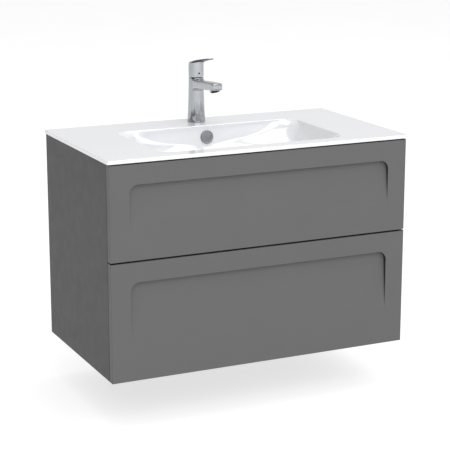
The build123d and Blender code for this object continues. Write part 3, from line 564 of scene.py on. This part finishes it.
def make_front(name, ramp, top_shade_finish):
    """Drawer front with its sunk field: a rounded lip, upright walls painted dark as shade, and a floor that
    runs out flush.

    The ramp is how far the floor takes to run out, and the front's top edge has a dark finish of its own as
    painted shade of the gap above it.
    """
    low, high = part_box(name)
    face = low.y
    half_w = high.x
    half = half_w - STILE
    lip = high.z - RAIL
    run_out = lip - ramp
    bm = bmesh.new()

    def depth_at(z):
        return max(0.0, RECESS * (z - run_out) / ramp)

    # the U-shaped outline from the left leg's foot over the top to the right leg's foot
    outline = []
    leg_top = lip - RECESS_CORNER
    legs = [run_out + (leg_top - run_out) * (step / 16) ** 1.3 for step in range(16)]
    outline += [(-half, z, 1.0, 0.0) for z in legs]
    arc = 12
    for step in range(arc + 1):
        a = radians(180 - 90 * step / arc)
        x, z = RECESS_CORNER - half + RECESS_CORNER * cos(a), leg_top + RECESS_CORNER * sin(a)
        outline.append((x, z, -cos(a), -sin(a)))
    outline += [(x, lip, 0.0, -1.0) for x in (-GROOVE_HALF, 0.0)]
    outline += [(-x, z, -nx, nz) for x, z, nx, nz in reversed(outline[:-1])]

    centre_x, centre_z = half - RECESS_CORNER, leg_top
    flat_x, flat_top, flat_low = half_w - EDGE_R, high.z - EDGE_R, low.z + EDGE_R

    def outer_point(x, z, nx, nz):
        """Where the flat face ends, straight out from a point of the outline."""
        if abs(nz) < 1e-9:
            return -flat_x * (1 if nx > 0 else -1), z
        if abs(nx) < 1e-9:
            return x, flat_top
        side = -1 if nx > 0 else 1
        reach_x = (flat_x - centre_x) / abs(nx)
        reach_z = (flat_top - centre_z) / abs(nz)
        reach = min(reach_x, reach_z)
        return side * (centre_x + reach * abs(nx)), centre_z + reach * abs(nz)

    outer = [outer_point(*point) for point in outline]
    for side in (-1, 1):
        gaps = [abs(x - side * flat_x) + abs(z - flat_top) for x, z in outer]
        outer[gaps.index(min(gaps))] = (side * flat_x, flat_top)

    lip_rows = []
    for step in range(5):
        row = []
        for x, z, nx, nz in outline:
            depth = depth_at(z)
            r = min(LIP_R, 0.45 * depth)
            a = radians(90 * step / 4)
            offset, sink = -r * (1 - sin(a)), r * (1 - cos(a))
            row.append(bm.verts.new((x + nx * offset, face + sink, z + nz * offset)))
        lip_rows.append(row)
    wall_row = [bm.verts.new((x, face + depth_at(z), z)) for x, z, nx, nz in outline]
    flat_row = [bm.verts.new((x, face, z)) for x, z in outer]
    count = len(outline)
    in_groove = [i for i in range(count - 1)
                 if outline[i][3] < -0.999 and abs(outline[i][0] + outline[i + 1][0]) / 2 < GROOVE_HALF]
    for first, second in [(flat_row, lip_rows[0])] + list(zip(lip_rows, lip_rows[1:])):
        for i in range(count - 1):
            bm.faces.new((first[i], first[i + 1], second[i + 1], second[i]))
    for i in range(count - 1):
        if i not in in_groove:
            wall = bm.faces.new((lip_rows[-1][i], lip_rows[-1][i + 1], wall_row[i + 1], wall_row[i]))
            # painted shade: the field's upright walls take the near-black lacquer
            wall.material_index = PAINTED_SHADE_WALL

    # finger groove behind the lip: front wall, ceiling and back wall, closed at both ends
    groove = in_groove + [in_groove[-1] + 1]
    cut = [[bm.verts.new((outline[i][0], face + y, lip + z)) for i in groove]
           for y, z in ((GROOVE_FACE, 0.0), (GROOVE_FACE, GROOVE_H), (RECESS, GROOVE_H))]
    lip_edge = [lip_rows[-1][i] for i in groove]
    floor_edge = [wall_row[i] for i in groove]
    strips = [lip_edge] + cut + [floor_edge]
    for first, second in zip(strips, strips[1:]):
        for i in range(len(groove) - 1):
            bm.faces.new((first[i], first[i + 1], second[i + 1], second[i]))
    for end in (0, -1):
        bm.faces.new((cut[0][end], cut[1][end], cut[2][end], floor_edge[end]))

    # the sunk field is one flat slope, in strips between the two legs
    for i in range(count // 2):
        j = count - 1 - i
        if j - i > 1:
            corners = [wall_row[i], wall_row[i + 1], wall_row[j - 1], wall_row[j]]
            bm.faces.new(list(dict.fromkeys(corners)))

    # plain face below the field
    base_left, base_right, under_left, under_right = (
        bm.verts.new((x, face, flat_low)) for x in (-flat_x, flat_x, -half, half))
    bm.faces.new((base_left, flat_row[0], wall_row[0], under_left))
    bm.faces.new((under_left, wall_row[0], wall_row[-1], under_right))
    bm.faces.new((under_right, wall_row[-1], flat_row[-1], base_right))

    # rounded edges, sides and back
    border = [base_left] + flat_row + [base_right, under_right, under_left]
    turns = [radians(90 * step / 4) for step in range(1, 5)]
    steps_out = [(EDGE_R * sin(a), face + EDGE_R * (1 - cos(a))) for a in turns]
    steps_out += [(EDGE_R, high.y - BACK_R), (EDGE_R - BACK_R * 0.3, high.y - BACK_R * 0.3),
                  (EDGE_R - BACK_R, high.y)]
    rows = [border]
    rows += [border_row(bm, border, flat_x, flat_top, flat_low, out, y) for out, y in steps_out]
    skin(bm, rows)
    bm.faces.new(rows[-1])
    # painted shade: the top edge takes the dark finish that stands in for the shadow gap above the front
    for each in bm.faces:
        if min(vertex.co.z for vertex in each.verts) > high.z - 1.01 * EDGE_R:
            each.material_index = SHADED_TOP_EDGE
    return piece(name + "_panel", bm, name.replace("_front", ""), "front_lacquer", name,
                 material_slots=["front_lacquer", top_shade_finish, "painted_shade_wall"])


def border_row(bm, border, flat_x, flat_top, flat_low, out, y):
    """The face's border moved outward by one amount and set at one depth."""
    row = []
    for vertex in border:
        x, z = vertex.co.x, vertex.co.z
        if abs(abs(x) - flat_x) < 1e-6:
            x += out if x > 0 else -out
        if abs(z - flat_top) < 1e-6:
            z += out
        if abs(z - flat_low) < 1e-6:
            z -= out
        row.append(bm.verts.new((x, y, z)))
    return row


# the top edges are painted dark as shade: in the seal's brown under the slab, in dark plastic under the upper
# front
make_front("upper_drawer_front", 103 * MM, "seal_bead")
make_front("lower_drawer_front", 148 * MM, "dark_plastic")


# ---------------------------------------------------------------- tap
def round_tap(bm, radius, angles, heights):
    """A row of vertices round the tap's axis, each at its height above the deck, in millimetres."""
    circle = [Vector((radius * cos(a), radius * sin(a), z)) for a, z in zip(angles, heights)]
    return ring(bm, [TAP + point * MM for point in circle])


def make_tap_body():
    """Body and spout as one subdivided cage, the spout's rows bridged into the front of the body."""
    bm = bmesh.new()
    steps = 24
    # height above the deck and radius
    profile = ((0.0, 23.0), (0.5, 24.0), (3.0, 24.0), (24.0, 22.7), (45.0, 21.6), (66.0, 20.95),
               (82.0, 20.55), (89.0, 20.4), (97.0, 20.25), (105.0, 20.15), (112.5, 20.05), (115.6, 20.0),
               (116.5, 19.7), (116.5, 18.6), (116.5, 16.4), (115.5, 16.2), (100.0, 16.2), (99.0, 15.5))
    rows = []
    for height, radius in profile:
        # the first vertex lies half a step to the right of straight ahead
        angles = [-pi / 2 + 2 * pi * (step + 0.5) / steps for step in range(steps)]
        rows.append(round_tap(bm, radius, angles, [height] * steps))
    left, right = steps - 4, 3  # columns at the two sides of the spout's root
    low, high = 7, 10  # rows at its underside and its top
    for level, (first, second) in enumerate(zip(rows, rows[1:])):
        for i in range(steps):
            j = (i + 1) % steps
            in_root = low <= level < high and (i >= left or i < right)
            if not in_root:
                bm.faces.new((first[i], first[j], second[j], second[i]))
    close_ends(bm, rows)
    across = list(range(left, steps)) + list(range(0, right + 1))
    root = [rows[low][i] for i in across]
    root += [rows[level][right] for level in range(low + 1, high)]
    root += [rows[high][i] for i in reversed(across)]
    root += [rows[level][left] for level in range(high - 1, low, -1)]
    wide = len(across) - 1
    tall = high - low
    # the spout: distance ahead of the axis, width, underside and top
    sections = ((30.0, 32.0, 90.5, 112.6), (48.0, 31.4, 92.2, 114.2), (70.0, 30.6, 93.6, 116.2),
                (100.0, 29.4, 95.9, 117.8), (122.0, 28.4, 97.4, 118.6), (131.0, 27.6, 98.6, 118.6),
                (134.2, 25.6, 100.4, 117.4), (135.0, 21.0, 103.0, 115.0))
    previous = root
    bulge = 1.5 * MM
    for reach, width, bottom, top in sections:
        places = []
        for step in range(wide + 1):
            t = 2 * step / wide - 1
            places.append((t * width / 2 * MM, bottom * MM + bulge * t * t * 0.6))
        for step in range(1, tall):
            places.append((width / 2 * MM + 0.4 * MM, (bottom + (top - bottom) * step / tall) * MM))
        for step in range(wide + 1):
            t = 1 - 2 * step / wide
            places.append((t * width / 2 * MM, top * MM - bulge * t * t * 1.2))
        for step in range(1, tall):
            places.append((-width / 2 * MM - 0.4 * MM, (top - (top - bottom) * step / tall) * MM))
        row = ring(bm, [TAP + Vector((x, -reach * MM, z)) for x, z in places])
        join(bm, previous, row)
        previous = row
    bm.faces.new(previous)
    return piece("tap_body_casting", bm, "cabinet", "tap_chrome", "tap_body", levels=3, sharp=180)


JET_TILT = radians(30)
jet = Vector((0, -sin(JET_TILT), -cos(JET_TILT)))
mouth = TAP + Vector((0, -120, 95.5)) * MM


def make_outlet_ring():
    """Round housing of the aerator, leaning forward under the spout's tip."""
    bm = bmesh.new()
    profile = ((11.7, 9.0), (11.7, 0.6), (12.0, 0.1), (12.5, 0.0), (13.1, 0.2), (13.45, 0.8), (13.5, 1.6),
               (13.5, 10.0))
    lathe(bm, [(r * MM, z * MM) for r, z in profile], mouth, -jet, steps=72)
    return piece("tap_outlet_ring", bm, "cabinet", "tap_chrome", "tap_body", sharp=50)


CAP_R, CAP_BORE_R = 20.0, 18.0
LEVER_LIFT = radians(25)
# the lever's pivot above the deck, and where the skirt's foot is from it with the lever fully lifted
PIVOT_H, HEEL_CLEAR = 126.0, -8.7

# the lever's top, in millimetres: distance ahead of the axis, half width, top and underside above the deck,
# and how much of the thickness is plated metal, the rest a dark strip in its underside: painted shade and
# reflection
BLADE = ((-19.7, 3.0, 152.4, 147.6, 1.0), (-19.0, 7.0, 152.7, 146.6, 1.0), (-16.5, 11.8, 153.4, 146.0, 1.0),
         (-12.0, 16.3, 154.9, 146.6, 1.0), (-6.0, 19.2, 157.0, 148.2, 1.0), (0.0, 19.9, 158.8, 150.0, 1.0),
         (6.0, 19.5, 160.5, 152.4, 1.0), (10.0, 19.0, 161.5, 154.0, 0.6), (18.0, 17.9, 163.4, 157.4, 0.5),
         (30.0, 16.9, 166.2, 161.0, 0.5), (50.0, 15.3, 170.2, 165.6, 0.5), (70.0, 13.8, 173.6, 169.6, 0.5),
         (83.0, 12.6, 175.5, 171.8, 0.5), (89.0, 10.2, 176.2, 172.9, 0.5), (91.3, 6.4, 176.3, 173.6, 0.5))


def blade_underside(ahead):
    """Height of the blade's underside above the deck, at a distance ahead of the axis."""
    for first, second in zip(BLADE, BLADE[1:]):
        if ahead <= second[0]:
            return first[3] + (second[3] - first[3]) * (ahead - first[0]) / (second[0] - first[0])
    return BLADE[-1][3]


def cap_foot(base, behind):
    """Height of the skirt's lower edge above the deck, slanted at the back so that the cap can tilt."""
    return max(base, PIVOT_H + (HEEL_CLEAR + behind * sin(LEVER_LIFT)) / cos(LEVER_LIFT))


def make_lever_cap():
    """Skirt of the lever: a thin-walled cup over the cartridge, cut on a slant under the blade."""
    bm = bmesh.new()
    base = (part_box("lever")[0].z - DECK) / MM
    steps = 72
    profile = ((18.0, 1.0), (18.0, 0.6), (18.2, 0.15), (18.6, 0.0), (19.5, 0.0), (19.9, 0.2), (20.0, 0.8))
    angles = [2 * pi * step / steps for step in range(steps)]
    slant = [blade_underside(-CAP_R * sin(a)) + 1.5 for a in angles]
    foot = [cap_foot(base, CAP_R * sin(a)) for a in angles]
    rows = [round_tap(bm, CAP_BORE_R, angles, [top - 3 for top in slant])]
    for radius, along in profile:
        rows.append(round_tap(bm, radius, angles, [low + along for low in foot]))
    for share in (0.35, 0.7, 1.0):
        heights = [low + 0.8 + (top - low - 0.8) * share for low, top in zip(foot, slant)]
        rows.append(round_tap(bm, CAP_R, angles, heights))
    skin(bm, rows)
    close_ends(bm, rows)
    return piece("lever_cap", bm, "lever", "tap_chrome", "lever", sharp=50)


def blade_part(name, slot, sections):
    """Subdivided bar through (distance ahead, half width, top, underside) sections."""
    bm = bmesh.new()
    rows = []
    for ahead, half, top, under in sections:
        thick = top - under
        r = min(1.2, thick * 0.35)
        outline = ((-half + r * 1.6, top - 0.15), (0, top), (half - r * 1.6, top - 0.15),
                   (half - 0.15, top - r), (half, top - thick / 2), (half - 0.15, under + r),
                   (half - r * 1.6, under), (0, under), (r * 1.6 - half, under),
                   (0.15 - half, under + r), (-half, top - thick / 2), (0.15 - half, top - r))
        rows.append(ring(bm, [TAP + Vector((x, -ahead, z)) * MM for x, z in outline]))
    skin(bm, rows)
    close_ends(bm, rows)
    return piece(name, bm, "lever", slot, "lever", levels=3, sharp=180)


def make_blade():
    """Flat blade of the lever, as wide as the cap at its back, and a dark strip let into its underside as
    painted shade.
    """
    metal = [(ahead, half, top, top - (top - under) * share) for ahead, half, top, under, share in BLADE]
    blade_part("lever_blade", "tap_chrome", metal)
    # the painted shade strip, a little narrower than the metal, and sunk into it
    shade_strip = [(ahead - 0.6, half - 0.5, top - (top - under) * share + 0.3, under)
            for ahead, half, top, under, share in BLADE if share < 1]
    blade_part("lever_shade_strip", "dark_plastic", shade_strip)


def make_index_mark():
    """Small domed mark on the front of the cap that shows which way the lever points."""
    bm = bmesh.new()
    seat = TAP + Vector((0, -19.4, PIVOT_H + 3)) * MM
    profile = ((2.4, 0.0), (2.4, 0.75), (2.3, 0.88), (2.1, 0.94), (1.4, 1.0), (0.7, 1.03), (0.01, 1.04))
    lathe(bm, [(r * MM, z * MM) for r, z in profile], seat, Vector((0, -1, 0)), steps=36)
    return piece("index_mark", bm, "lever", slot_of["index_plug"], "index_plug", sharp=50)


make_tap_body()
make_outlet_ring()
make_index_mark()
make_lever_cap()
make_blade()


# ---------------------------------------------------------------- overflow cover
OVERFLOW_DROP = 31 * MM


def make_overflow_cover():
    """Round cover on the bowl's back wall, with a rolled edge and fine rings turned into its face."""
    bm = bmesh.new()
    lean = Vector((0, -1, LEAN["back"])).normalized()
    wall_y = RIM_BACK - LEAN["back"] * OVERFLOW_DROP
    seat = Vector((0, wall_y, DECK - OVERFLOW_DROP)) + lean * 0.4 * MM
    rim = ((17.0, 0.0), (17.5, 0.3), (17.5, 2.2), (17.2, 3.1), (16.4, 3.8), (15.4, 4.0), (14.6, 3.9),
           (14.0, 3.5))
    grooves = [(13.6 - 0.5 * step, 3.45 + 0.018 * step + (0.12 if step % 2 else 0.0)) for step in range(25)]
    lathe(bm, [(r * MM, z * MM) for r, z in rim + tuple(grooves) + ((0.01, 3.92),)], seat, lean, steps=72)
    return piece("overflow_cover_disc", bm, "cabinet", "tap_chrome", "overflow_cover", sharp=50,
                 material_slots=["spun_cover"])


make_overflow_cover()

# ---------------------------------------------------------------- finishes of the CAD nodes
for name, shown in frame["nodes"].items():
    shown.data.materials.clear()
    shown.data.materials.append(finishes[slot_of[name]])

# ---------------------------------------------------------------- camera
CAMERA_PLACE, CAMERA_LENS, SENSOR_WIDTH = (-1.5747, -3.5966, 0.7366), 119.51, 36
CAMERA_DOWN, CAMERA_TURN = 13.859, -25.055  # degrees

camera = bpy.data.objects.new("camera", bpy.data.cameras.new("camera"))
camera.data.lens = CAMERA_LENS
camera.data.sensor_width = SENSOR_WIDTH
camera.data.clip_end = 200
camera.location = CAMERA_PLACE
camera.rotation_euler = (radians(90 - CAMERA_DOWN), 0, radians(CAMERA_TURN))
bpy.context.scene.collection.objects.link(camera)
bpy.context.scene.camera = camera

# ---------------------------------------------------------------- floor
FLOOR_GAP = 0.12  # the cabinet hangs this far above it
FLOOR_REACH = 60
FLOOR_GLOW = 0.62

floor_mesh = bmesh.new()
bmesh.ops.create_grid(floor_mesh, x_segments=8, y_segments=8, size=FLOOR_REACH)
floor_data = bpy.data.meshes.new("floor")
floor_mesh.to_mesh(floor_data)
floor_mesh.free()
floor = bpy.data.objects.new("floor", floor_data)
floor.location = (0, 0, cad_box[0].z - FLOOR_GAP)
pale = material("pale_floor", 0.8, specular=0.0)
tint(pale, noise(pale, 400 * MM), grey(0.5), grey(0.52))
shader_inputs(pale)["Emission Color"].default_value = (1, 1, 1, 1)
shader_inputs(pale)["Emission Strength"].default_value = FLOOR_GLOW
floor_data.materials.append(pale)
bpy.context.scene.collection.objects.link(floor)


# ---------------------------------------------------------------- light
def softbox(name, spot, aim, size, power):
    """Rectangular area light looking at a point."""
    light = bpy.data.lights.new(name, "AREA")
    light.shape = "RECTANGLE"
    light.size, light.size_y = size
    light.energy = power
    lamp = bpy.data.objects.new(name, light)
    lamp.location = spot
    lamp.rotation_euler = (Vector(aim) - Vector(spot)).to_track_quat("-Z", "Y").to_euler()
    bpy.context.scene.collection.objects.link(lamp)


AIM = (0, -0.25, -0.1)
softbox("front", (-1.0, -6.2, 3.4), AIM, (9.0, 6.0), 292)
softbox("right", (4.1, -3.7, 4.4), AIM, (4.0, 4.0), 60)
softbox("top", (0.3, -0.5, 6.9), AIM, (6.0, 5.0), 118)

# a soft room that is brightest on the right, behind the cabinet and overhead
BRIGHT_SIDE = Vector((0.6, 0.6, 0.5)).normalized()
world = bpy.data.worlds.new("studio")
world.use_nodes = True
tree = world.node_tree
towards = tree.nodes.new("ShaderNodeTexCoord").outputs["Generated"]
facing = tree.nodes.new("ShaderNodeVectorMath")
facing.operation = "DOT_PRODUCT"
facing.inputs[1].default_value = BRIGHT_SIDE
tree.links.new(towards, facing.inputs[0])
level = tree.nodes.new("ShaderNodeMapRange")
level.interpolation_type = "SMOOTHSTEP"
for key, value in {"From Min": -0.9, "From Max": 0.5, "To Min": 0.04, "To Max": 0.75}.items():
    level.inputs[key].default_value = value
tree.links.new(facing.outputs["Value"], level.inputs["Value"])
tree.links.new(level.outputs["Result"], tree.nodes["Background"].inputs["Strength"])
tree.nodes["Background"].inputs["Color"].default_value = (1, 1, 1, 1)
bpy.context.scene.world = world
bpy.context.scene.view_settings.view_transform = "Standard"
